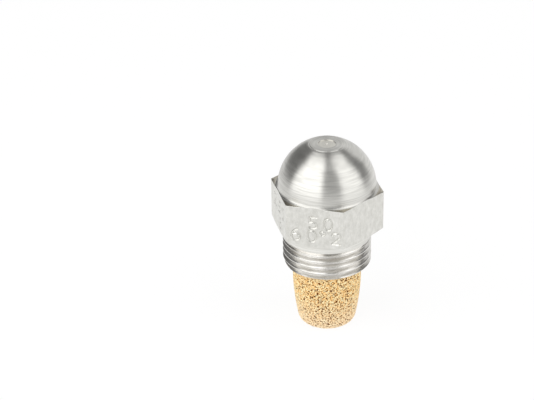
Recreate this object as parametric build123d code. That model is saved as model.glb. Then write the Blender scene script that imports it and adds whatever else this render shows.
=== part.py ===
from build123d import *
import math
import os

# Oil burner nozzle, standing on its filter. Millimetres, +Z up towards the orifice.
# The origin is the centre of the filter's flat base, on the axis that every piece shares.
# The hexagon's corners lie on +X and -X, and the stamped flat faces -Y.

# ---- nozzle body: hexagon and nose ----
hex_across_flats = 15.875  # 5/8 inch spanner size
hex_height = 6.9
hex_under_angle = 15.0  # slope of the turned cone that breaks the lower corners
hex_shoulder_land = 0.4  # plain shoulder left inside the flats
dome_ledge = 0.14  # how far the nose stands in from the flats
dome_height = 7.3
tip_flat_radius = 2.75
tip_edge_round = 0.15

# ---- nozzle body: shank, 9/16-24 UNEF ----
shank_major_radius = 7.144
shank_pitch = 25.4 / 24
shank_length = 6.65  # hexagon shoulder to the open end
neck_length = 1.55  # plain stretch between the hexagon and the first turn
crest_allowance = 0.045  # the crests stand this far inside the nominal size
shank_end_bevel = 0.5
shank_thread_lead = 0.36  # height of the thread's start above the shank's end
shank_thread_bearing = -75.0  # degrees about +Z where that start lies

# ---- nozzle body: inside ----
shank_wall = 0.55  # below the thread's root
filter_socket_depth = 5.35
lock_major_radius = 4.0
lock_pitch = 1.0
lock_thread_length = 5.0
lock_relief_height = 0.8
lock_relief_depth = 0.12  # beyond the thread's root
chamber_clearance = 0.06  # the chamber stands this far inside the lock thread's crest
tip_bore_radius = 1.4
tip_wall = 2.1

# ---- orifice disc ----
disc_thickness = 3.0
disc_face_recess = 0.08  # how far the disc's face sits below the tip flat
seat_mouth_radius = 2.75
swirl_radius = 0.5
orifice_radius = 0.1
orifice_land = 0.3
orifice_flare = 0.14

# ---- distributor ----
nose_half_angle = 45.0
nose_gap = 0.03  # along the axis, between the cone and its seat
nose_tip_radius = 0.62
distributor_annulus = 0.4  # oil space around the distributor
distributor_edge = 0.15
slot_count = 4
slot_width = 0.35
slot_depth = 0.35
slot_offset = 0.45  # from the axis, so that each slot runs tangentially

# ---- lock screw ----
lock_crest_gap = 0.08
lock_flank_gap = 0.06
lock_nose_length = 2.0
lock_nose_waist = 0.45  # below the thread's root
cross_hole_radius = 0.5
cross_hole_count = 3
oil_bore_radius = 1.0
oil_bore_roof = 0.8
lock_shoulder_gap = 0.6  # the thread ends this far above the filter socket
stub_radius = 2.5
stub_short = 0.15  # the stub ends this far inside the shank
flange_inset = 0.96  # the flange stands this far inside the filter's mouth
flange_height = 0.8
driver_slot_width = 0.9
driver_slot_depth = 1.0

# ---- filter ----
filter_reach = 11.0  # how far the filter stands out of the shank
filter_engagement = 2.5  # how far it goes up inside the shank
filter_gap = 0.38
filter_wall = 1.4
filter_floor = 1.6
filter_taper = 1.0  # how much the radius falls towards the base
filter_taper_height = 9.3
filter_base_round = 1.2
collar_fit = 0.03  # radial slip between the collar and the lock screw's stub

# ---- stamping on the -Y flat ----
stamp_height = 2.0
stamp_width = 1.3
stamp_stroke = 0.26
stamp_depth = 0.12
stamp_line_drops = (0.36, 0.7)  # centres of the two lines below the hexagon's top, as shares of its height
stamp_upper_places = (-0.03, 0.23)  # of the figures from the flat's middle, as shares of its width
stamp_lower_places = (-0.33, -0.05, 0.14, 0.37)

# ---- how far modelling tools run past what they join or trim ----
rib_sink = 0.1
groove_overcut = 0.04  # the lock groove's cutter reaches this far inside the chamber's wall
trim_margin = 0.5

# ---- places that follow from the sizes above ----
shank_end_z = filter_reach
shoulder_z = shank_end_z + shank_length
hex_top_z = shoulder_z + hex_height
tip_z = hex_top_z + dome_height
hex_corner_radius = hex_across_flats / math.sqrt(3)
dome_radius = hex_across_flats / 2 - dome_ledge
shank_crest_radius = shank_major_radius - crest_allowance
shank_root_radius = shank_major_radius - 0.6134 * shank_pitch
socket_radius = shank_root_radius - shank_wall
socket_top_z = shank_end_z + filter_socket_depth
lock_thread_top_z = socket_top_z + lock_thread_length
lock_pitch_radius = lock_major_radius - 0.3248 * lock_pitch
lock_minor_radius = lock_major_radius - 0.5413 * lock_pitch
chamber_radius = lock_minor_radius - chamber_clearance
disc_top_z = tip_z - tip_wall
disc_base_z = disc_top_z - disc_thickness
lock_root_radius = lock_major_radius - 0.6134 * lock_pitch
lock_top_z = lock_thread_top_z + lock_nose_length
filter_top_z = shank_end_z + filter_engagement
filter_mouth_radius = socket_radius - filter_gap
collar_outer_radius = filter_mouth_radius - filter_wall
flat_width = hex_across_flats / math.sqrt(3)


def turned(outline):
    """Solid of revolution about Z from a closed outline of (radius, height) points."""
    return revolve(Plane.XZ * make_face(Polyline(*outline, close=True)), Axis.Z)


def tube(outer_radius, inner_radius, low_z, high_z):
    """Plain ring between two heights."""
    low_edge = [(inner_radius, low_z), (outer_radius, low_z)]
    high_edge = [(outer_radius, high_z), (inner_radius, high_z)]
    return turned(low_edge + high_edge)


def rod(radius, low_z, high_z):
    """Plain cylinder between two heights."""
    return Pos(0, 0, low_z) * Cylinder(radius, high_z - low_z, align=(Align.CENTER, Align.CENTER, Align.MIN))


def helical_rib(inner_radius, outer_radius, inner_half, outer_half, pitch, low_z, turns):
    """Right-hand rib of straight-sided section, centred on low_z at bearing 0."""
    section = Polyline(
        (inner_radius, -inner_half),
        (outer_radius, -outer_half),
        (outer_radius, outer_half),
        (inner_radius, inner_half),
        close=True,
    )
    path = Helix(pitch, pitch * turns, inner_radius)
    return Pos(0, 0, low_z) * sweep(Plane.XZ * make_face(section), path=path, is_frenet=True)


def thread_half(pitch, pitch_radius, radius, flank_gap=0.0):
    """Half the axial width of a 60 degree thread's rib at a radius."""
    return pitch / 4 + (pitch_radius - radius) * math.tan(math.radians(30)) - flank_gap


def shank_thread():
    """External thread on the shank, its ends trimmed by the neck and by the end bevel."""
    sunk_radius = shank_root_radius - rib_sink
    pitch_radius = shank_major_radius - 0.3248 * shank_pitch
    turns = math.ceil((shank_length - neck_length) / shank_pitch) + 1
    rib = helical_rib(
        sunk_radius,
        shank_crest_radius,
        thread_half(shank_pitch, pitch_radius, sunk_radius),
        thread_half(shank_pitch, pitch_radius, shank_crest_radius),
        shank_pitch,
        shank_end_z + shank_thread_lead - shank_pitch,
        turns,
    )
    thread_top_z = shoulder_z - neck_length / 2
    reach = shank_end_bevel + trim_margin
    keep = turned(
        [
            (0, shank_end_z),
            (shank_crest_radius - shank_end_bevel, shank_end_z),
            (shank_crest_radius - shank_end_bevel + reach, shank_end_z + reach),
            (shank_crest_radius - shank_end_bevel + reach, thread_top_z),
            (0, thread_top_z),
        ]
    )
    return (Rot(0, 0, shank_thread_bearing) * rib) & keep


def hexagon():
    """Spanner hexagon with its lower corners broken by a shallow turned cone."""
    blank = Pos(0, 0, shoulder_z) * extrude(
        RegularPolygon(hex_across_flats / 2, 6, major_radius=False), hex_height
    )
    land_radius = hex_across_flats / 2 - hex_shoulder_land
    reach = hex_corner_radius + 1
    rise = (reach - land_radius) * math.tan(math.radians(hex_under_angle))
    keep = turned(
        [
            (0, shoulder_z),
            (land_radius, shoulder_z),
            (reach, shoulder_z + rise),
            (reach, hex_top_z),
            (0, hex_top_z),
        ]
    )
    return blank & keep


def dome():
    """Rounded nose: a quarter ellipse, as one smooth curve, cut off by the tip flat."""
    sweep_angle = math.acos(tip_flat_radius / dome_radius)
    rise = dome_height / math.sin(sweep_angle)
    handle = 4 / 3 * math.tan(sweep_angle / 4)
    side = Bezier(
        (dome_radius, hex_top_z),
        (dome_radius, hex_top_z + handle * rise),
        (
            tip_flat_radius + handle * dome_radius * math.sin(sweep_angle),
            tip_z - handle * rise * math.cos(sweep_angle),
        ),
        (tip_flat_radius, tip_z),
    )
    low_z = hex_top_z - hex_height / 2
    closing = Polyline(
        (tip_flat_radius, tip_z),
        (0, tip_z),
        (0, low_z),
        (dome_radius, low_z),
        (dome_radius, hex_top_z),
    )
    nose = revolve(Plane.XZ * make_face(Curve() + [side, closing]), Axis.Z)
    tip_edge = nose.edges().filter_by(GeomType.CIRCLE).group_by(Axis.Z)[-1]
    return fillet(tip_edge, tip_edge_round)


def stroke(*path):
    """One stamped line of the die's width, in the flat's own plane."""
    return trace(Curve() + list(path), stamp_stroke)


def digit_two():
    """Figure 2, centred."""
    w, h = stamp_width / 2, stamp_height / 2
    bend = (w, h * 0.4)
    top = ThreePointArc((-w, h * 0.4), (0, h), bend)
    rest = Polyline(bend, (-w, -h), (w, -h))
    return stroke(top, *rest.edges())


def digit_five():
    """Figure 5, centred."""
    w, h = stamp_width / 2, stamp_height / 2
    bowl = h * 0.55
    top = Polyline((w, h), (-w * 0.8, h), (-w * 0.8, h - 2 * h + 2 * bowl))
    curve = ThreePointArc((-w * 0.8, 2 * bowl - h), (w, bowl - h), (-w * 0.8, -h * 0.9))
    return stroke(*top.edges(), curve)


def ring_mark(half_width, half_height):
    """Closed oval, used for the nought, the bowl of the 6 and the degree sign."""
    outer = Ellipse(half_width + stamp_stroke / 2, half_height + stamp_stroke / 2)
    return outer - Ellipse(half_width - stamp_stroke / 2, half_height - stamp_stroke / 2)


def digit_nought():
    """Figure 0, centred."""
    return ring_mark(stamp_width / 2, stamp_height / 2)


def digit_six():
    """Figure 6, centred."""
    w, h = stamp_width / 2, stamp_height / 2
    bowl = ring_mark(w, h * 0.55)
    tail = ThreePointArc((-w, -h * 0.45), (-w * 0.55, h * 0.6), (w * 0.6, h))
    return Pos(0, -h * 0.45) * bowl + stroke(tail)


def degree_sign():
    """Small ring at cap height."""
    small = stamp_width / 4
    return Pos(0, stamp_height / 2 - small) * ring_mark(small, small)


def stamping():
    """Two lines of struck figures, as a cutter for the -Y flat."""
    upper_figures = [digit_five(), digit_nought()]
    lower_figures = [digit_six(), digit_nought(), degree_sign(), digit_two()]
    upper_drop, lower_drop = stamp_line_drops
    marks = Sketch()
    for place, figure in zip(stamp_upper_places, upper_figures):
        marks += Pos(place * flat_width, -upper_drop * hex_height) * figure
    for place, figure in zip(stamp_lower_places, lower_figures):
        marks += Pos(place * flat_width, -lower_drop * hex_height) * figure
    flat = Plane(origin=(0, -hex_across_flats / 2, hex_top_z), x_dir=(1, 0, 0), z_dir=(0, -1, 0))
    return extrude(flat * marks, stamp_depth, both=True)


def lock_thread_groove():
    """Internal thread that the lock screw runs in."""
    low_z = socket_top_z - lock_pitch
    high_z = lock_thread_top_z - lock_relief_height / 2
    sunk_radius = chamber_radius - groove_overcut
    turns = (high_z - low_z) / lock_pitch
    return helical_rib(
        sunk_radius,
        lock_major_radius,
        thread_half(lock_pitch, lock_pitch_radius, sunk_radius),
        thread_half(lock_pitch, lock_pitch_radius, lock_major_radius),
        lock_pitch,
        low_z,
        turns,
    )


def nozzle_body():
    """Turned stainless body, bored from the shank end."""
    neck = rod(shank_major_radius, shoulder_z - neck_length, shoulder_z)
    core = rod(shank_root_radius, shank_end_z, shoulder_z)
    blank = hexagon() + dome() + neck + core + shank_thread()
    bores = [
        rod(socket_radius, shank_end_z - 1, socket_top_z),
        rod(lock_minor_radius, socket_top_z, lock_thread_top_z),
        rod(lock_major_radius + lock_relief_depth, lock_thread_top_z - lock_relief_height, lock_thread_top_z),
        rod(chamber_radius, lock_thread_top_z, disc_top_z),
        rod(tip_bore_radius, disc_top_z, tip_z + 1),
    ]
    return blank - bores - lock_thread_groove() - stamping()


def orifice_disc():
    """Flanged disc: its face fills the tip bore, and its cone seats the distributor."""
    face_z = tip_z - disc_face_recess
    seat_top_z = disc_base_z + (seat_mouth_radius - swirl_radius) / math.tan(math.radians(nose_half_angle))
    land_low_z = face_z - orifice_flare - orifice_land
    cone_low_z = land_low_z - (swirl_radius - orifice_radius)
    return turned(
        [
            (seat_mouth_radius, disc_base_z),
            (chamber_radius, disc_base_z),
            (chamber_radius, disc_top_z),
            (tip_bore_radius, disc_top_z),
            (tip_bore_radius, face_z),
            (orifice_radius + orifice_flare, face_z),
            (orifice_radius, face_z - orifice_flare),
            (orifice_radius, land_low_z),
            (swirl_radius, cone_low_z),
            (swirl_radius, seat_top_z),
        ]
    )


def distributor():
    """Cone-nosed piece whose slots set the oil spinning."""
    slope = 1 / math.tan(math.radians(nose_half_angle))
    radius = chamber_radius - distributor_annulus
    cone_base_radius = min(radius, seat_mouth_radius)
    cone_base_z = disc_base_z - nose_gap + (seat_mouth_radius - cone_base_radius) * slope
    tip_height = cone_base_z + (cone_base_radius - nose_tip_radius) * slope
    piece = turned(
        [
            (0, lock_top_z),
            (radius - distributor_edge, lock_top_z),
            (radius, lock_top_z + distributor_edge),
            (radius, cone_base_z),
            (cone_base_radius, cone_base_z),
            (nose_tip_radius, tip_height),
            (0, tip_height),
        ]
    )
    slot_length = 2 * radius
    cutter = Box(slot_length, slot_width, 2 * slot_depth)
    middle_radius = (cone_base_radius + nose_tip_radius) / 2
    middle_z = (cone_base_z + tip_height) / 2
    tilted = Pos(middle_radius, slot_offset, middle_z) * Rot(0, 90 - nose_half_angle, 0) * cutter
    for index in range(slot_count):
        piece -= Rot(0, 0, index * 360 / slot_count) * tilted
    return piece


def lock_thread_rib(low_z, high_z):
    """External thread of the lock screw, in step with the thread in the body."""
    sunk_radius = lock_root_radius - lock_crest_gap - rib_sink
    crest_radius = lock_major_radius - lock_crest_gap
    start_z = socket_top_z - lock_pitch
    turns = math.ceil((high_z - start_z) / lock_pitch) + 1
    rib = helical_rib(
        sunk_radius,
        crest_radius,
        thread_half(lock_pitch, lock_pitch_radius, sunk_radius, lock_flank_gap),
        thread_half(lock_pitch, lock_pitch_radius, crest_radius, lock_flank_gap),
        lock_pitch,
        start_z,
        turns,
    )
    reach = crest_radius - sunk_radius + trim_margin
    keep = turned(
        [
            (0, low_z),
            (sunk_radius, low_z),
            (sunk_radius + reach, low_z + reach),
            (sunk_radius + reach, high_z - reach),
            (sunk_radius, high_z),
            (0, high_z),
        ]
    )
    return rib & keep


def lock_screw():
    """Brass screw that clamps the distributor, with the oil way and the filter's stub."""
    thread_low_z = socket_top_z + lock_shoulder_gap
    core_radius = lock_root_radius - lock_crest_gap
    stub_end_z = shank_end_z + stub_short
    nose_radius = lock_root_radius - lock_nose_waist
    core = rod(core_radius, thread_low_z, lock_thread_top_z)
    nose = rod(nose_radius, lock_thread_top_z, lock_top_z)
    stub = rod(stub_radius, stub_end_z, thread_low_z)
    flange = rod(filter_mouth_radius - flange_inset, filter_top_z, filter_top_z + flange_height)
    piece = core + nose + stub + flange + lock_thread_rib(thread_low_z, lock_thread_top_z)
    piece -= rod(oil_bore_radius, stub_end_z - 1, lock_top_z - oil_bore_roof)
    hole_length = nose_radius + 1
    hole = Pos(hole_length / 2, 0, 0) * Rot(0, 90, 0) * Cylinder(cross_hole_radius, hole_length)
    hole_z = (lock_top_z - oil_bore_roof + lock_thread_top_z) / 2
    for index in range(cross_hole_count):
        piece -= Rot(0, 0, index * 360 / cross_hole_count) * Pos(0, 0, hole_z) * hole
    slot = Box(4 * stub_radius, driver_slot_width, 2 * driver_slot_depth)
    return piece - Pos(0, 0, stub_end_z) * slot


def filter_collar():
    """Brass bush in the filter's mouth that slips over the lock screw's stub."""
    return tube(collar_outer_radius, stub_radius + collar_fit, shank_end_z, filter_top_z)


def filter_cup():
    """Sintered bronze cup: straight mouth, then a gentle taper to a rounded base."""
    base_radius = filter_mouth_radius - filter_taper
    mouth = Line((filter_mouth_radius, filter_top_z), (filter_mouth_radius, filter_taper_height))
    taper = TangentArc((filter_mouth_radius, filter_taper_height), (base_radius, 0), tangent=(0, -1))
    closing = Polyline((base_radius, 0), (0, 0), (0, filter_top_z), (filter_mouth_radius, filter_top_z))
    blank = revolve(Plane.XZ * make_face(Curve() + [mouth, taper, closing]), Axis.Z)
    base_edge = blank.edges().filter_by(GeomType.CIRCLE).group_by(Axis.Z)[0]
    blank = fillet(base_edge, filter_base_round)
    inside = turned(
        [
            (0, filter_floor),
            (base_radius - filter_wall, filter_floor),
            (collar_outer_radius, filter_taper_height),
            (collar_outer_radius, filter_top_z + 1),
            (0, filter_top_z + 1),
        ]
    )
    return blank - inside


os.makedirs("parts", exist_ok=True)
pieces = [nozzle_body, orifice_disc, distributor, lock_screw, filter_collar, filter_cup]
for make in pieces:
    piece = make()
    export_step(piece, f"parts/{make.__name__}.step")
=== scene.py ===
import math

import bmesh
import bpy
import numpy as np
from mathutils import Matrix, Vector, kdtree


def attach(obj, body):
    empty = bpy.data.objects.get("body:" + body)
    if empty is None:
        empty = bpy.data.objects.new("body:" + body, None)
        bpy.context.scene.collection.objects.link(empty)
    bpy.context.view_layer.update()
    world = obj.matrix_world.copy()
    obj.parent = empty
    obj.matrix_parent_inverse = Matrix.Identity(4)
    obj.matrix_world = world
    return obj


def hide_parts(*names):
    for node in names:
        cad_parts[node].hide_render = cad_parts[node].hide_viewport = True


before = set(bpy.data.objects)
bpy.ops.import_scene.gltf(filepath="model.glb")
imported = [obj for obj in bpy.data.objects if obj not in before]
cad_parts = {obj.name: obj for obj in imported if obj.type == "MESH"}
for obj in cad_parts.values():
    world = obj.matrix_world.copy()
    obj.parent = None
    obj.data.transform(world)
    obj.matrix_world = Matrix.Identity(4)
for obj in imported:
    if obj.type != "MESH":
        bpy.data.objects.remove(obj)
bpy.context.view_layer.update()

# Oil burner nozzle standing on its filter. Shapes are worked out in millimetres and made in metres.
# The axis is Z, the filter's flat base is at 0, and the stamped flat faces -Y.

MM = 0.001
random = np.random.default_rng(24)

# ---- body, outside ----
ACROSS_FLATS = 15.875
CORNER_ROUND = 0.16  # the worn edge between two flats
FLAT_SKIM = 0.012  # the flats stand this far in, so that the lips of the stamping stay inside the size
TOP_EDGE = 0.05  # broken edge round the hexagon's top
HEX_TOP = 24.55
SHOULDER = 17.65
UNDER_ANGLE = 15.0
SHOULDER_LAND = 0.4
NOSE_RADIUS = 7.7975
NOSE_HEIGHT = 7.3
NOSE_FILLET = 0.42  # hollow round where the nose runs out on the ledge
TIP_RADIUS = 2.75
TIP_EDGE = 0.15
TIP_BORE = 1.4

# ---- shank thread, 24 turns to the inch ----
NECK_RADIUS = 7.144
NECK_LOW = 16.1
THREAD_CREST = 7.099
THREAD_ROOT = 6.495
THREAD_PITCH = 25.4 / 24
THREAD_START = 11.36
THREAD_BEARING = -75.0
SHANK_END = 11.0
END_BEVEL = 0.5
RUN_OUT_SLOPE = 0.75  # how steeply the thread fades out into the neck

# ---- body, inside ----
SOCKET_RADIUS = 5.945
SOCKET_TOP = 16.35
LOCK_CREST = 3.459
LOCK_ROOT = 4.0
LOCK_PITCH = 1.0
RELIEF_RADIUS = 4.12
RELIEF_LOW = 20.55
RELIEF_HIGH = 21.35
CHAMBER_RADIUS = 3.399
CHAMBER_TOP = 29.75

# ---- filter ----
FILTER_TOP = 13.5
FILTER_RADIUS = 5.565
FILTER_TAPER_TOP = 9.3
FILTER_TAPER = 1.0
FILTER_ROUND = 1.2
FILTER_MOUTH = 4.165
FILTER_INNER_BASE = 3.165
FILTER_FLOOR = 1.6
BEAD_RADIUS = 0.148  # the bronze powder that the filter is sintered from
BEAD_PITCH = 0.24
BEADS_MISSING = 0.08  # share of the grains left out, which leaves the larger pores
PORE_DEPTH = 0.17

# ---- camera ----
CAMERA_AZIMUTH = 13.9
CAMERA_ELEVATION = 28.75
CAMERA_DISTANCE = 235.8
CAMERA_LENS = 101.0
CAMERA_ROLL = -1.3
AIM_RIGHT = -9.43
AIM_UP = -2.35


# ================= shared tools =================


def sheet_of_points(radius, height, bearings):
    """One ring of points. The radius and height may change with the bearing."""
    radius = np.broadcast_to(radius, bearings.shape)
    height = np.broadcast_to(height, bearings.shape)
    return np.stack([radius * np.cos(bearings), radius * np.sin(bearings), height], axis=-1)


def skin(name, rings, bands, values=None):
    """Welded skin over rings of points. Each band between two rings has a material number."""
    rings = np.array(rings)
    ring_count, column_count = rings.shape[:2]
    corner = np.arange(ring_count * column_count).reshape(ring_count, column_count)
    around = [corner[:-1, :-1], corner[1:, :-1], corner[1:, 1:], corner[:-1, 1:]]
    faces = np.stack(around, axis=-1).reshape(-1, 4)
    mesh = bpy.data.meshes.new(name)
    mesh.from_pydata((rings.reshape(-1, 3) * MM).tolist(), [], faces.tolist())
    mesh.polygons.foreach_set("material_index", np.repeat(bands, column_count - 1).astype(np.int32))
    for label, amounts in (values or {}).items():
        layer = mesh.attributes.new(label, "FLOAT", "POINT")
        layer.data.foreach_set("value", np.asarray(amounts, dtype=np.float32).ravel())
    work = bmesh.new()
    work.from_mesh(mesh)
    bmesh.ops.remove_doubles(work, verts=work.verts, dist=2e-7)
    bmesh.ops.dissolve_degenerate(work, edges=work.edges, dist=2e-7)
    for face in work.faces:
        face.smooth = True
    work.to_mesh(mesh)
    work.free()
    mesh.set_sharp_from_angle(angle=math.radians(32))
    piece = bpy.data.objects.new(name, mesh)
    bpy.context.scene.collection.objects.link(piece)
    return piece


def linear(hex_colour):
    """sRGB hex colour as the linear RGBA that a shader takes."""
    channels = [int(hex_colour[i : i + 2], 16) / 255 for i in (1, 3, 5)]
    return tuple(c / 12.92 if c <= 0.04045 else ((c + 0.055) / 1.055) ** 2.4 for c in channels) + (1.0,)


def add(tree, kind, settings=None, links=None):
    """Adds one node, with its settings by property or socket and the outputs that feed its sockets."""
    node = tree.nodes.new(kind)
    for name, value in (settings or {}).items():
        if isinstance(name, str) and hasattr(node, name):
            setattr(node, name, value)
        else:
            node.inputs[name].default_value = value
    for name, source in (links or {}).items():
        tree.links.new(source, node.inputs[name])
    return node


def new_material(name):
    """Empty material and its tree."""
    material = bpy.data.materials.new(name)
    material.use_nodes = True
    material.node_tree.nodes.clear()
    return material, material.node_tree


# ================= body of the nozzle =================

NOSE, BAR, SHANK, THREAD, LEDGE = range(5)  # finishes of the body, in the order of its materials


def hexagon_columns():
    """Bearings of the skin's columns, and how far the hexagon's outline is at each, corners rounded."""
    apothem = ACROSS_FLATS / 2 - FLAT_SKIM
    reach = (apothem - CORNER_ROUND) * math.tan(math.radians(30))
    corner_distance = (apothem - CORNER_ROUND) / math.cos(math.radians(30))
    points = []
    for index in range(7):
        facing = math.radians(90 + 60 * index)
        count = STAMPED_COLUMNS.get(index, 19)
        along = np.linspace(-reach, reach, count)
        if index == 0:
            along = along[count // 2 :]
        if index == 6:
            along = along[: count // 2 + 1]
        out = np.array([math.cos(facing), math.sin(facing)])
        side = np.array([-math.sin(facing), math.cos(facing)])
        points += [apothem * out + u * side for u in along]
        if index < 6:
            middle = facing + math.radians(30)
            centre = corner_distance * np.array([math.cos(middle), math.sin(middle)])
            for turn in np.linspace(facing, facing + math.radians(60), 6)[1:-1]:
                points.append(centre + CORNER_ROUND * np.array([math.cos(turn), math.sin(turn)]))
    points = np.array(points)
    bearings = np.unwrap(np.arctan2(points[:, 1], points[:, 0]))
    return bearings, np.hypot(points[:, 0], points[:, 1])


# ---- stamping: strokes of the figures, in millimetres on the flat ----
FIGURE_WIDTH = 1.3
FIGURE_HEIGHT = 2.0
STROKE_HALF = 0.16
STROKE_DEPTH = 0.18
STAMPED_COLUMNS = {2: 88, 3: 165}  # columns of the skin on the two stamped flats
LIP_WIDTH = 0.14
STAMPED_REACH = 4.45  # the stamping stays this near the middle of its flat


def bow(centre_x, centre_y, half_width, half_height, start, end, count=20):
    """Part of an oval as a run of points, angles in degrees."""
    turn = np.radians(np.linspace(start, end, count))
    return np.stack([centre_x + half_width * np.cos(turn), centre_y + half_height * np.sin(turn)], axis=-1)


def figure_strokes():
    """Strokes of each struck figure about its own middle."""
    w = FIGURE_WIDTH / 2
    h = FIGURE_HEIGHT / 2
    five_flag = np.array([(w, h), (-0.8 * w, h), (-0.8 * w, 0.1 * h)])
    five = [five_flag, bow(-0.1 * w, -0.4 * h, 1.1 * w, 0.55 * h, 130, -130)]
    nought = [bow(0, 0, w, h, 0, 360, 40)]
    six = [bow(0, -0.42 * h, 1.05 * w, 0.6 * h, 0, 360, 30), bow(w, -0.35 * h, 2.05 * w, 1.35 * h, 180, 105)]
    degree = [bow(0, h - 0.36, 0.36, 0.36, 0, 360, 16)]
    two = [bow(0, 0.4 * h, w, 0.6 * h, 165, -20), np.array([(0.94 * w, 0.2 * h), (-w, -h), (w, -h)])]
    return {"five": five, "nought": nought, "six": six, "degree": degree, "two": two}


# Which way each stamped flat faces and how hard it was struck, then its figures: the place across as a
# share of the flat's width, and the drop from the hexagon's top as a share of its height.
STAMPINGS = {
    (270, 1.0): [
        ("five", -0.03, 0.36),
        ("nought", 0.23, 0.36),
        ("six", -0.33, 0.7),
        ("nought", -0.05, 0.7),
        ("degree", 0.14, 0.7),
        ("two", 0.37, 0.7),
    ],
    (210, 0.6): [("two", -0.2, 0.3), ("five", 0.05, 0.34), ("nought", 0.3, 0.36), ("six", 0.12, 0.72)],
}


def stamping_depth(across, height, line_up):
    """How deep the stamping is at points of the flat, lips standing proud of it."""
    figures = figure_strokes()
    flat_width = ACROSS_FLATS / math.sqrt(3)
    depth = np.zeros_like(across)
    lip = np.zeros_like(across)
    for name, place, drop in line_up:
        middle = HEX_TOP - drop * (HEX_TOP - SHOULDER)
        slant = random.uniform(-4, 4) * math.pi / 180
        strength = random.uniform(0.75, 1.0)
        nearest = np.full_like(across, 9.0)
        for stroke in figures[name]:
            x = place * flat_width + stroke[:, 0] * math.cos(slant) - stroke[:, 1] * math.sin(slant)
            y = middle + stroke[:, 0] * math.sin(slant) + stroke[:, 1] * math.cos(slant)
            for i in range(len(stroke) - 1):
                run = np.array([x[i + 1] - x[i], y[i + 1] - y[i]])
                share = ((across - x[i]) * run[0] + (height - y[i]) * run[1]) / (run @ run)
                share = np.clip(share, 0, 1)
                gap = np.hypot(across - x[i] - share * run[0], height - y[i] - share * run[1])
                nearest = np.minimum(nearest, gap)
        struck = strength * STROKE_DEPTH * np.clip(1 - (nearest / STROKE_HALF) ** 2, 0, 1) ** 0.7
        depth = np.maximum(depth, struck)
        beyond = np.clip(1 - np.abs(nearest - STROKE_HALF - LIP_WIDTH / 2) / (LIP_WIDTH / 2), 0, 1)
        lip = np.maximum(lip, beyond)
    return np.where(depth > 0, depth, -FLAT_SKIM * lip)


def thread_rings(bearings, low, high, pitch, start, start_bearing, offsets, gaps, radii, downwards):
    """Rings that climb with a thread and are trimmed between two heights."""
    climb = start + pitch * (bearings - math.radians(start_bearing)) / (2 * math.pi)
    first = math.floor((low - climb.max()) / pitch) - 1
    last = math.ceil((high - climb.min()) / pitch) + 1
    rings = []
    for turn in range(first, last + 1):
        for offset in offsets:
            height = np.clip(climb + turn * pitch + offset, low, high)
            phase = np.abs((height - climb + pitch / 2) % pitch - pitch / 2)
            rings.append((np.interp(phase, gaps, radii), height))
    return rings[::-1] if downwards else rings


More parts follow.
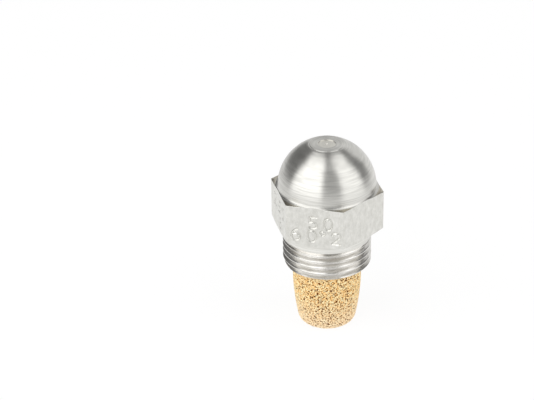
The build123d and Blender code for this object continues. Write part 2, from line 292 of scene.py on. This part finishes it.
def body_skin():
    """Domed nose, hexagon, neck and thread outside; socket, lock thread and chamber inside."""
    bearings, hexagon = hexagon_columns()
    rings = []
    bands = []

    def ring(radius, height, finish):
        """Adds a ring, and the finish of the band between it and the ring before."""
        points = sheet_of_points(radius, height, bearings)
        if rings:
            bands.append(finish)
        rings.append(points)

    tip = HEX_TOP + NOSE_HEIGHT
    ring(TIP_BORE, tip, NOSE)
    for radius in np.linspace(TIP_BORE + 0.06, TIP_RADIUS - TIP_EDGE, 6):
        ring(radius, tip, NOSE)
    span = math.acos(TIP_RADIUS / NOSE_RADIUS)
    rise = NOSE_HEIGHT / math.sin(span)
    for share in (0.25, 0.6, 1.0):
        along = math.radians(55) * share
        drop = TIP_EDGE * (1 - math.cos(along))
        ring(TIP_RADIUS - TIP_EDGE + TIP_EDGE * math.sin(along), tip - drop, NOSE)
    fillet_turn = math.asin(NOSE_FILLET / rise)
    for turn in np.linspace(span - 0.018, fillet_turn, 44):
        ring(NOSE_RADIUS * math.cos(turn), HEX_TOP + rise * math.sin(turn), NOSE)
    room = hexagon - TOP_EDGE - NOSE_RADIUS
    for share in (0.08, 0.22, 0.4, 0.6, 0.8, 1.0):
        out = share * np.minimum(room, NOSE_FILLET)
        lift = NOSE_FILLET - np.sqrt(NOSE_FILLET**2 - (NOSE_FILLET - out) ** 2)
        ring(NOSE_RADIUS + out, HEX_TOP + lift, NOSE)
    ring(hexagon - TOP_EDGE, HEX_TOP + lift, LEDGE)
    ring(hexagon - TOP_EDGE * 0.3, HEX_TOP + lift - TOP_EDGE * 0.3, NOSE)
    ring(hexagon, HEX_TOP + lift - TOP_EDGE, NOSE)

    land = ACROSS_FLATS / 2 - SHOULDER_LAND
    flat_low = SHOULDER + (hexagon - land) * math.tan(math.radians(UNDER_ANGLE))
    flat_high = HEX_TOP + lift - TOP_EDGE
    first_flat_ring = len(rings)
    for share in np.linspace(0, 1, 96)[1:]:
        ring(hexagon, flat_high + share * (flat_low - flat_high), BAR)
    last_flat_ring = len(rings)
    for share in (0.2, 0.5, 1.0):
        ring(hexagon + share * (land - hexagon), flat_low + share * (SHOULDER - flat_low), SHANK)
    ring(NECK_RADIUS + 0.1, SHOULDER, SHANK)
    ring(NECK_RADIUS + 0.03, SHOULDER - 0.03, SHANK)
    ring(NECK_RADIUS, SHOULDER - 0.1, SHANK)
    ring(NECK_RADIUS, SHOULDER - 0.7, SHANK)
    ring(NECK_RADIUS, NECK_LOW + 0.06, SHANK)
    ring(NECK_RADIUS - 0.06, NECK_LOW, SHANK)

    crest_half = 0.092
    root_half = 0.4408
    offsets = [-0.5, -root_half, -0.34, -0.23, -crest_half - 0.03, -crest_half + 0.03]
    offsets = offsets + [0.0] + [-offset for offset in offsets[:0:-1]]
    gaps = [0, crest_half - 0.03, crest_half + 0.03, root_half - 0.04, root_half + 0.04, THREAD_PITCH / 2]
    radii = [
        THREAD_CREST,
        THREAD_CREST - 0.005,
        THREAD_CREST - 0.06,
        THREAD_ROOT + 0.055,
        THREAD_ROOT + 0.008,
        THREAD_ROOT,
    ]
    climbing = thread_rings(
        bearings, SHANK_END, NECK_LOW, THREAD_PITCH, THREAD_START, THREAD_BEARING, offsets, gaps, radii, True
    )
    for radius, height in climbing:
        bevel = THREAD_CREST - END_BEVEL + (height - SHANK_END)
        run_out = NECK_RADIUS - 0.06 - (NECK_LOW - height) * RUN_OUT_SLOPE
        ring(np.clip(radius, run_out, bevel), height, THREAD)
    ring(SOCKET_RADIUS + 0.06, SHANK_END, SHANK)
    ring(SOCKET_RADIUS, SHANK_END + 0.06, SHANK)
    ring(SOCKET_RADIUS, SOCKET_TOP, SHANK)
    lock_offsets = [-0.5, -0.375, -0.0625, 0.0625, 0.375]
    lock_gaps = [0, 0.0625, 0.375, 0.5]
    lock_radii = [LOCK_ROOT, LOCK_ROOT, LOCK_CREST, LOCK_CREST]
    climbing = thread_rings(
        bearings,
        SOCKET_TOP,
        RELIEF_LOW,
        LOCK_PITCH,
        SOCKET_TOP,
        0.0,
        lock_offsets,
        lock_gaps,
        lock_radii,
        False,
    )
    for radius, height in climbing:
        ring(radius, height, THREAD)
    ring(RELIEF_RADIUS, RELIEF_LOW, SHANK)
    ring(RELIEF_RADIUS, RELIEF_HIGH, SHANK)
    ring(CHAMBER_RADIUS, RELIEF_HIGH, SHANK)
    ring(CHAMBER_RADIUS, CHAMBER_TOP, SHANK)
    ring(TIP_BORE, CHAMBER_TOP, SHANK)
    ring(TIP_BORE, tip, SHANK)

    rings = np.array(rings)
    flat = rings[first_flat_ring:last_flat_ring]
    for (facing, blow), line_up in STAMPINGS.items():
        out = (math.cos(math.radians(facing)), math.sin(math.radians(facing)))
        away = flat[:, :, 0] * out[0] + flat[:, :, 1] * out[1]
        across = flat[:, :, 1] * out[0] - flat[:, :, 0] * out[1]
        on_flat = (away > ACROSS_FLATS / 2 - FLAT_SKIM - 1e-6) & (np.abs(across) < STAMPED_REACH)
        depth = np.where(on_flat, blow * stamping_depth(across, flat[:, :, 2], line_up), 0)
        flat[:, :, 0] -= depth * out[0]
        flat[:, :, 1] -= depth * out[1]
    return skin("body_skin", rings, bands)


body = body_skin()

# ================= sintered filter =================


def filter_profile():
    """Outer outline from the mouth down to the middle of the base, with the way outwards at each point."""
    spacing = 0.081
    outline = []
    for height in np.arange(FILTER_TOP, FILTER_TAPER_TOP, -spacing):
        outline.append((FILTER_RADIUS, height, 1.0, 0.0))
    arc = (FILTER_TAPER**2 + FILTER_TAPER_TOP**2) / (2 * FILTER_TAPER)
    centre_x = FILTER_RADIUS - arc
    round_x = math.sqrt((arc - FILTER_ROUND) ** 2 - (FILTER_TAPER_TOP - FILTER_ROUND) ** 2) + centre_x
    touch = math.atan2(FILTER_TAPER_TOP - FILTER_ROUND, round_x - centre_x)
    for turn in np.arange(0, touch, spacing / arc):
        out, down = math.cos(turn), math.sin(turn)
        outline.append((centre_x + arc * out, FILTER_TAPER_TOP - arc * down, out, -down))
    for turn in np.arange(touch, math.pi / 2, spacing / FILTER_ROUND):
        out, down = math.cos(turn), math.sin(turn)
        outline.append((round_x + FILTER_ROUND * out, FILTER_ROUND - FILTER_ROUND * down, out, -down))
    for radius in np.arange(round_x, 0.3, -3 * spacing):
        outline.append((radius, 0.0, 0.0, -1.0))
    return np.array(outline)


def scatter_beads(outline):
    """Places of the powder grains on the outline's surface, in jittered rows with some left out."""
    steps = np.hypot(np.diff(outline[:, 0]), np.diff(outline[:, 1]))
    travel = np.concatenate([[0], np.cumsum(steps)])
    places = []
    for along in np.arange(0.1, travel[-1], BEAD_PITCH * 0.9):
        radius = np.interp(along, travel, outline[:, 0])
        count = max(3, int(2 * math.pi * radius / BEAD_PITCH))
        offset = random.uniform(0, 1)
        for index in range(count):
            if random.uniform() < BEADS_MISSING:
                continue
            here = along + random.normal(0, 0.3) * BEAD_PITCH
            here = min(max(here, 0), travel[-1])
            turn = (index + offset + random.normal(0, 0.24)) * 2 * math.pi / count
            out = np.interp(here, travel, outline[:, 0])
            height = np.interp(here, travel, outline[:, 1])
            places.append((out * math.cos(turn), out * math.sin(turn), height))
    return places


def filter_skin():
    """Cup of fused bronze powder: bead tops at the surface, pores between them, whose depth sets the painted
    shade in the pores.
    """
    bearings = np.linspace(0, 2 * math.pi, 437)
    outline = filter_profile()
    places = scatter_beads(outline)
    tree = kdtree.KDTree(len(places))
    for index, place in enumerate(places):
        tree.insert(place, index)
    tree.balance()
    sizes = random.uniform(0.8, 1.15, len(places)) * BEAD_RADIUS
    sunk = random.uniform(0.0, 0.05, len(places))
    shade = random.uniform(0, 1, len(places))
    rings = []
    pores = []
    grains = []
    inside = [(0.0, FILTER_FLOOR), (FILTER_INNER_BASE, FILTER_FLOOR), (FILTER_MOUTH, FILTER_TAPER_TOP)]
    for radius, height in inside + [(FILTER_MOUTH, FILTER_TOP - 0.02)]:
        rings.append(sheet_of_points(radius, height, bearings))
        pores.append(np.full(bearings.shape, 0.3))
        grains.append(np.full(bearings.shape, 0.5))
    for radius, height, out, up in outline:
        ring = sheet_of_points(radius, height, bearings)
        depth = np.full(bearings.shape, PORE_DEPTH)
        grain = np.zeros(bearings.shape)
        for column, point in enumerate(ring[:-1]):
            for place, index, gap in tree.find_n(point, 4):
                size = sizes[index]
                if gap >= size:
                    continue
                here = sunk[index] + size - math.sqrt(size * size - gap * gap)
                if here < depth[column]:
                    depth[column] = here
                    grain[column] = shade[index]
        depth[-1] = depth[0]
        grain[-1] = grain[0]
        ring[:, 0] -= depth * out * np.cos(bearings)
        ring[:, 1] -= depth * out * np.sin(bearings)
        ring[:, 2] = np.clip(ring[:, 2] - depth * up, 0, FILTER_TOP)
        rings.append(ring)
        pores.append(depth / PORE_DEPTH)
        grains.append(grain)
    rings.append(sheet_of_points(0.0, 0.0, bearings))
    pores.append(np.full(bearings.shape, 0.3))
    grains.append(np.full(bearings.shape, 0.5))
    bands = np.zeros(len(rings) - 1)
    return skin("filter_skin", rings, bands, {"pore_shade": pores, "grain": grains})


sinter = filter_skin()

# ================= materials =================


def lathe_streaks(tree, spacing, arc):
    """Marks that a lathe tool leaves: thin rings, each broken into arcs of a few millimetres."""
    place = add(tree, "ShaderNodeTexCoord")
    parts = add(tree, "ShaderNodeSeparateXYZ", links={0: place.outputs["Object"]})
    level = add(tree, "ShaderNodeCombineXYZ", links={0: parts.outputs[0], 1: parts.outputs[1]})
    out = add(tree, "ShaderNodeVectorMath", {"operation": "LENGTH"}, {0: level.outputs[0]})
    along = add(
        tree,
        "ShaderNodeMath",
        {"operation": "MULTIPLY_ADD", 1: 1.3},
        {0: parts.outputs[2], 2: out.outputs["Value"]},
    )
    ring_scale = 1 / (spacing * MM)
    arc_scale = 1 / (arc * MM)
    ring = add(tree, "ShaderNodeMath", {"operation": "MULTIPLY", 1: ring_scale}, {0: along.outputs[0]})
    broken = add(
        tree, "ShaderNodeVectorMath", {"operation": "SCALE", "Scale": arc_scale}, {0: level.outputs[0]}
    )
    spread = add(tree, "ShaderNodeSeparateXYZ", links={0: broken.outputs[0]})
    point = add(
        tree, "ShaderNodeCombineXYZ", links={0: spread.outputs[0], 1: spread.outputs[1], 2: ring.outputs[0]}
    )
    return add(
        tree,
        "ShaderNodeTexNoise",
        {"Scale": 1.0, "Detail": 2.0, "Roughness": 0.6},
        {"Vector": point.outputs[0]},
    )


def turned_metal(name, colour, dull_colour, roughness, anisotropy, spacing, arc, height):
    """Lathe-turned metal: fine rings draw the highlights out along the profile."""
    material, tree = new_material(name)
    around = add(tree, "ShaderNodeTangent", {"direction_type": "RADIAL", "axis": "Z"})
    streaks = lathe_streaks(tree, spacing, arc)
    marked = add(
        tree, "ShaderNodeMapRange", {"From Min": 0.38, "From Max": 0.6}, {"Value": streaks.outputs[0]}
    )
    shade = add(
        tree,
        "ShaderNodeMix",
        {"data_type": "RGBA", 6: linear(dull_colour), 7: linear(colour)},
        {0: marked.outputs[0]},
    )
    rings = add(
        tree, "ShaderNodeBump", {"Strength": 1.0, "Distance": height * MM}, {"Height": streaks.outputs[0]}
    )
    shader = add(
        tree,
        "ShaderNodeBsdfPrincipled",
        {"Metallic": 1.0, "Roughness": roughness, "Anisotropic": anisotropy, "Anisotropic Rotation": 0.25},
        {"Base Color": shade.outputs[2], "Normal": rings.outputs[0], "Tangent": around.outputs[0]},
    )
    add(tree, "ShaderNodeOutputMaterial", links={"Surface": shader.outputs[0]})
    return material


def drawn_bar(name, colour, dull_colour, roughness):
    """Bright-drawn stainless bar: dull, slightly cloudy, with faint lines along the bar and small dents."""
    material, tree = new_material(name)
    place = add(tree, "ShaderNodeTexCoord")
    stretched = add(
        tree, "ShaderNodeMapping", {"Scale": (1.0, 1.0, 0.6)}, {"Vector": place.outputs["Object"]}
    )
    clouds = add(
        tree,
        "ShaderNodeTexNoise",
        {"Scale": 1 / (0.7 * MM), "Detail": 5.0, "Roughness": 0.75},
        {"Vector": stretched.outputs[0]},
    )
    cloudy = add(
        tree, "ShaderNodeMapRange", {"From Min": 0.35, "From Max": 0.65}, {"Value": clouds.outputs[0]}
    )
    shade = add(
        tree,
        "ShaderNodeMix",
        {"data_type": "RGBA", 6: linear(dull_colour), 7: linear(colour)},
        {0: cloudy.outputs[0]},
    )
    dents = add(
        tree,
        "ShaderNodeTexNoise",
        {"Scale": 1 / (0.45 * MM), "Detail": 3.0, "Roughness": 0.6},
        {"Vector": place.outputs["Object"]},
    )
    bump = add(
        tree, "ShaderNodeBump", {"Strength": 1.0, "Distance": 0.06 * MM}, {"Height": dents.outputs[0]}
    )
    shader = add(
        tree,
        "ShaderNodeBsdfPrincipled",
        {"Metallic": 1.0, "Roughness": roughness},
        {"Base Color": shade.outputs[2], "Normal": bump.outputs[0]},
    )
    add(tree, "ShaderNodeOutputMaterial", links={"Surface": shader.outputs[0]})
    return material


def sintered_metal(name, bead, pale_bead, base_bead, pore_shade):
    """Sintered bronze powder: golden beads, paler towards the base, with painted shade dark between them."""
    material, tree = new_material(name)
    depth = add(tree, "ShaderNodeAttribute", {"attribute_name": "pore_shade"})
    grain = add(tree, "ShaderNodeAttribute", {"attribute_name": "grain"})
    beads = add(
        tree,
        "ShaderNodeMix",
        {"data_type": "RGBA", 6: linear(bead), 7: linear(pale_bead)},
        {0: grain.outputs["Fac"]},
    )
    # Painted shade: the deepest pores and the dark spots of a fine noise are darkened in the colour.
    dark = add(
        tree,
        "ShaderNodeMapRange",
        {"interpolation_type": "SMOOTHSTEP", "From Min": 0.55, "From Max": 1.0},
        {"Value": depth.outputs["Fac"]},
    )
    place = add(tree, "ShaderNodeTexCoord")
    gaps = add(
        tree,
        "ShaderNodeTexNoise",
        {"Scale": 1 / (0.24 * MM), "Detail": 1.0, "Roughness": 0.5},
        {"Vector": place.outputs["Object"]},
    )
    painted_gap_shade = add(
        tree,
        "ShaderNodeMapRange",
        {"From Min": 0.54, "From Max": 0.72, "To Max": 0.75},
        {"Value": gaps.outputs[0]},
    )
    painted_pore_shade = add(
        tree, "ShaderNodeMath", {"operation": "MAXIMUM"}, {0: dark.outputs[0], 1: painted_gap_shade.outputs[0]}
    )
    parts = add(tree, "ShaderNodeSeparateXYZ", links={0: place.outputs["Object"]})
    # The colour grows paler towards the base, up to 0.7 of the way to the pale base bead colour.
    near_base = add(
        tree,
        "ShaderNodeMapRange",
        {"From Min": 6.5 * MM, "From Max": 0.5 * MM, "To Max": 0.7},
        {"Value": parts.outputs[2]},
    )
    paler_near_base = add(
        tree,
        "ShaderNodeMix",
        {"data_type": "RGBA", 7: linear(base_bead)},
        {0: near_base.outputs[0], 6: beads.outputs[2]},
    )
    # Painted shade in the pores: the bead colour is mixed towards the dark pore colour by the pore mask.
    colour = add(
        tree,
        "ShaderNodeMix",
        {"data_type": "RGBA", 7: linear(pore_shade)},
        {0: painted_pore_shade.outputs[0], 6: paler_near_base.outputs[2]},
    )
    shader = add(
        tree,
        "ShaderNodeBsdfPrincipled",
        {"Metallic": 1.0, "Roughness": 0.5},
        {"Base Color": colour.outputs[2]},
    )
    add(tree, "ShaderNodeOutputMaterial", links={"Surface": shader.outputs[0]})
    return material


# Turned stainless steel: bright, with fine rings that smear its reflections from tip to hexagon.
# The rings are drawn 0.2 mm apart, about twice as coarse as the tool leaves them, so that they show.
nose_steel = turned_metal("turned_stainless_steel", "#DBDAD5", "#C8C7C2", 0.33, 0.8, 0.2, 4.5, 0.002)
# Bright-drawn stainless bar, not machined: dull and even.
bar_steel = drawn_bar("drawn_stainless_bar", "#E3E2DD", "#CFCEC8", 0.34)
# Turned shoulder, neck and bores.
neck_steel = turned_metal("turned_stainless_shank", "#E8E7E2", "#D6D5CF", 0.33, 0.75, 0.2, 5.0, 0.004)
# Faced ledge between the nose and the hexagon's corners: duller and warmer than the nose.
ledge_steel = turned_metal("faced_stainless_ledge", "#C2BDB0", "#A8A194", 0.28, 0.4, 0.3, 3.0, 0.002)
# Screw-cut stainless thread: the tool leaves it smooth along the turn.
thread_steel = turned_metal("screw_cut_stainless", "#E8E6E2", "#CBC8C2", 0.24, 0.6, 0.2, 4.0, 0.004)
# Lapped stainless orifice disc: finer and flatter than the body.
disc_steel = turned_metal("lapped_stainless_steel", "#E2E0D8", "#DAD8D0", 0.34, 0.2, 0.3, 3.0, 0.0005)
# Turned free-cutting brass.
turned_brass = turned_metal("turned_brass", "#E8C982", "#CDA960", 0.25, 0.5, 0.3, 4.0, 0.01)
# Sintered bronze powder, bare: pale gold grains with painted brown shade in the gaps, which gives the filter
# its open, sandy look. The painted shade of the finest gaps is drawn 0.24 mm apart, as wide as the powder's
# own spacing in the skin.
filter_bronze = sintered_metal("sintered_bronze", "#FDD08A", "#FFF3C8", "#FFEBCC", "#74400F")

for finish in (nose_steel, bar_steel, neck_steel, thread_steel, ledge_steel):
    body.data.materials.append(finish)
sinter.data.materials.append(filter_bronze)

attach(body, "nozzle")
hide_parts("nozzle_body")
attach(sinter, "filter")
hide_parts("filter_cup")

node_finishes = {
    "orifice_disc": (disc_steel, "orifice_steel"),
    "distributor": (turned_brass, "brass"),
    "lock_screw": (turned_brass, "brass"),
    "filter_collar": (turned_brass, "brass"),
}
for node, (finish, slot_name) in node_finishes.items():
    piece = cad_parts[node]
    piece.data.materials.clear()
    piece.data.materials.append(finish)

# ================= floor, backdrop and light =================


def glow(name, colour, brightness, by_point=False, diffuse=0.0):
    """Surface that shines by itself, evenly or by how much each point is told to."""
    material, tree = new_material(name)
    lamp = add(tree, "ShaderNodeEmission", {"Color": linear(colour), "Strength": brightness})
    if by_point:
        amount = add(tree, "ShaderNodeAttribute", {"attribute_name": "glow"})
        strength = add(
            tree, "ShaderNodeMath", {"operation": "MULTIPLY", 1: brightness}, {0: amount.outputs["Fac"]}
        )
        tree.links.new(strength.outputs[0], lamp.inputs["Strength"])
    result = lamp
    if diffuse:
        paper = add(tree, "ShaderNodeBsdfDiffuse", {"Color": (diffuse, diffuse, diffuse, 1.0)})
        result = add(tree, "ShaderNodeAddShader", links={0: lamp.outputs[0], 1: paper.outputs[0]})
    add(tree, "ShaderNodeOutputMaterial", links={"Surface": result.outputs[0]})
    return material


def stage_mesh(name, points, faces, material):
    """Mesh of the studio, in metres."""
    mesh = bpy.data.meshes.new(name)
    mesh.from_pydata([tuple(point) for point in points], [], faces)
    mesh.materials.append(material)
    thing = bpy.data.objects.new(name, mesh)
    bpy.context.scene.collection.objects.link(thing)
    return thing


# Softboxes and pale walls of the studio tent: bearings from the camera's own, plus to the right,
# lowest and highest angle above the ground, and brightness.
TENT_DARK = 0.17
TENT_FADE = 9.0  # degrees over which a patch fades in from its edge
TENT_PATCHES = [
    ("front gap", -16, 40, -30, 89, 0.42),
    ("left", -95, -7, -30, 62, 1.75),
    ("left roof", -133, -7, 50, 89, 1.75),
    ("right", 31, 98, -30, 62, 1.5),
    ("right roof", 35, 135, 50, 89, 1.5),
    ("back wall", 122, 196, -30, 46, 0.85),
]


def tent_glow(bearing, height):
    """Brightness of the tent in one direction, in degrees; every patch fades over its last few degrees."""
    brightest = TENT_DARK
    for name, left, right_side, low, high, brightness in TENT_PATCHES:
        across = (bearing - left) % 360
        inset = min(across, right_side - left - across, height - low, high - height)
        share = min(max(inset / TENT_FADE, 0), 1)
        fade = share * share * (3 - 2 * share)
        brightest = max(brightest, TENT_DARK + fade * (brightness - TENT_DARK))
    return brightest


def light_tent(distance, columns=90, rows=23):
    """Half sphere round the piece that shines inwards and is never seen by the camera itself."""
    points = []
    amounts = []
    for row in range(rows + 1):
        height = -2 + 92 * row / rows
        for column in range(columns):
            bearing = 360 * column / columns
            turn = math.radians(CAMERA_AZIMUTH + bearing)
            level = distance * math.cos(math.radians(height))
            rise = distance * math.sin(math.radians(height))
            points.append((level * math.sin(turn), -level * math.cos(turn), rise))
            amounts.append(tent_glow(bearing, height))
    faces = []
    for row in range(rows):
        for column in range(columns):
            following = (column + 1) % columns
            low = row * columns
            high = low + columns
            faces.append((low + column, low + following, high + following, high + column))
    tent = stage_mesh("light_tent", points, faces, glow("light_tent", "#FFFFFF", 1.0, by_point=True))
    layer = tent.data.attributes.new("glow", "FLOAT", "POINT")
    layer.data.foreach_set("value", amounts)
    tent.visible_camera = False
    tent.visible_shadow = False
    return tent


light_tent(0.9)

# White ground that also shines, as a light table does, so that it stays pale and casts back an even light.
ground = glow("white_ground", "#FFFFFF", 0.9, diffuse=0.12)
half_side = 4.0
floor_z = -0.02 * MM  # just under the filter's base, so that the two faces never share a place
floor = stage_mesh(
    "floor",
    [
        (-half_side, -half_side, floor_z),
        (half_side, -half_side, floor_z),
        (half_side, half_side, floor_z),
        (-half_side, half_side, floor_z),
    ],
    [(0, 1, 2, 3)],
    ground,
)

# Pale cylinder far behind everything, only for the eye.
wall_points = []
wall_faces = []
wall_steps = 48
wall_distance = 3.9
for step in range(wall_steps):
    turn = 2 * math.pi * step / wall_steps
    wall_points += [(wall_distance * math.cos(turn), wall_distance * math.sin(turn), h) for h in (-0.1, 6.0)]
    following = (2 * step + 2) % (2 * wall_steps)
    wall_faces.append((2 * step, following, following + 1, 2 * step + 1))
backdrop = stage_mesh("backdrop", wall_points, wall_faces, glow("white_backdrop", "#FFFFFF", 0.97))
backdrop.visible_glossy = False
backdrop.visible_diffuse = False
backdrop.visible_shadow = False

world = bpy.data.worlds.new("studio_dark")
world.use_nodes = True
world.node_tree.nodes["Background"].inputs["Color"].default_value = (0.27, 0.27, 0.27, 1.0)
world.node_tree.nodes["Background"].inputs["Strength"].default_value = 1.0
bpy.context.scene.world = world
bpy.context.scene.view_settings.view_transform = "Standard"

# ================= camera =================

azimuth = math.radians(CAMERA_AZIMUTH)
elevation = math.radians(CAMERA_ELEVATION)
towards = Vector(
    (math.sin(azimuth) * math.cos(elevation), -math.cos(azimuth) * math.cos(elevation), math.sin(elevation))
)
hex_top_centre = Vector((0, 0, HEX_TOP * MM))
right = Vector((math.cos(azimuth), math.sin(azimuth), 0))
up = towards.cross(right)
aim = hex_top_centre + right * AIM_RIGHT * MM + up * AIM_UP * MM
eye = hex_top_centre + towards * CAMERA_DISTANCE * MM
back = (eye - aim).normalized()
right = Vector((0, 0, 1)).cross(back).normalized()
up = back.cross(right)
roll = math.radians(CAMERA_ROLL)
rolled_right = right * math.cos(roll) + up * math.sin(roll)
rolled_up = up * math.cos(roll) - right * math.sin(roll)
lens = bpy.data.cameras.new("camera")
lens.lens = CAMERA_LENS
lens.sensor_width = 36.0
lens.clip_start = 0.01
lens.clip_end = 50.0
camera = bpy.data.objects.new("camera", lens)
bpy.context.scene.collection.objects.link(camera)
camera.matrix_world = Matrix(
    (
        (rolled_right.x, rolled_up.x, back.x, eye.x),
        (rolled_right.y, rolled_up.y, back.y, eye.y),
        (rolled_right.z, rolled_up.z, back.z, eye.z),
        (0, 0, 0, 1),
    )
)
bpy.context.scene.camera = camera
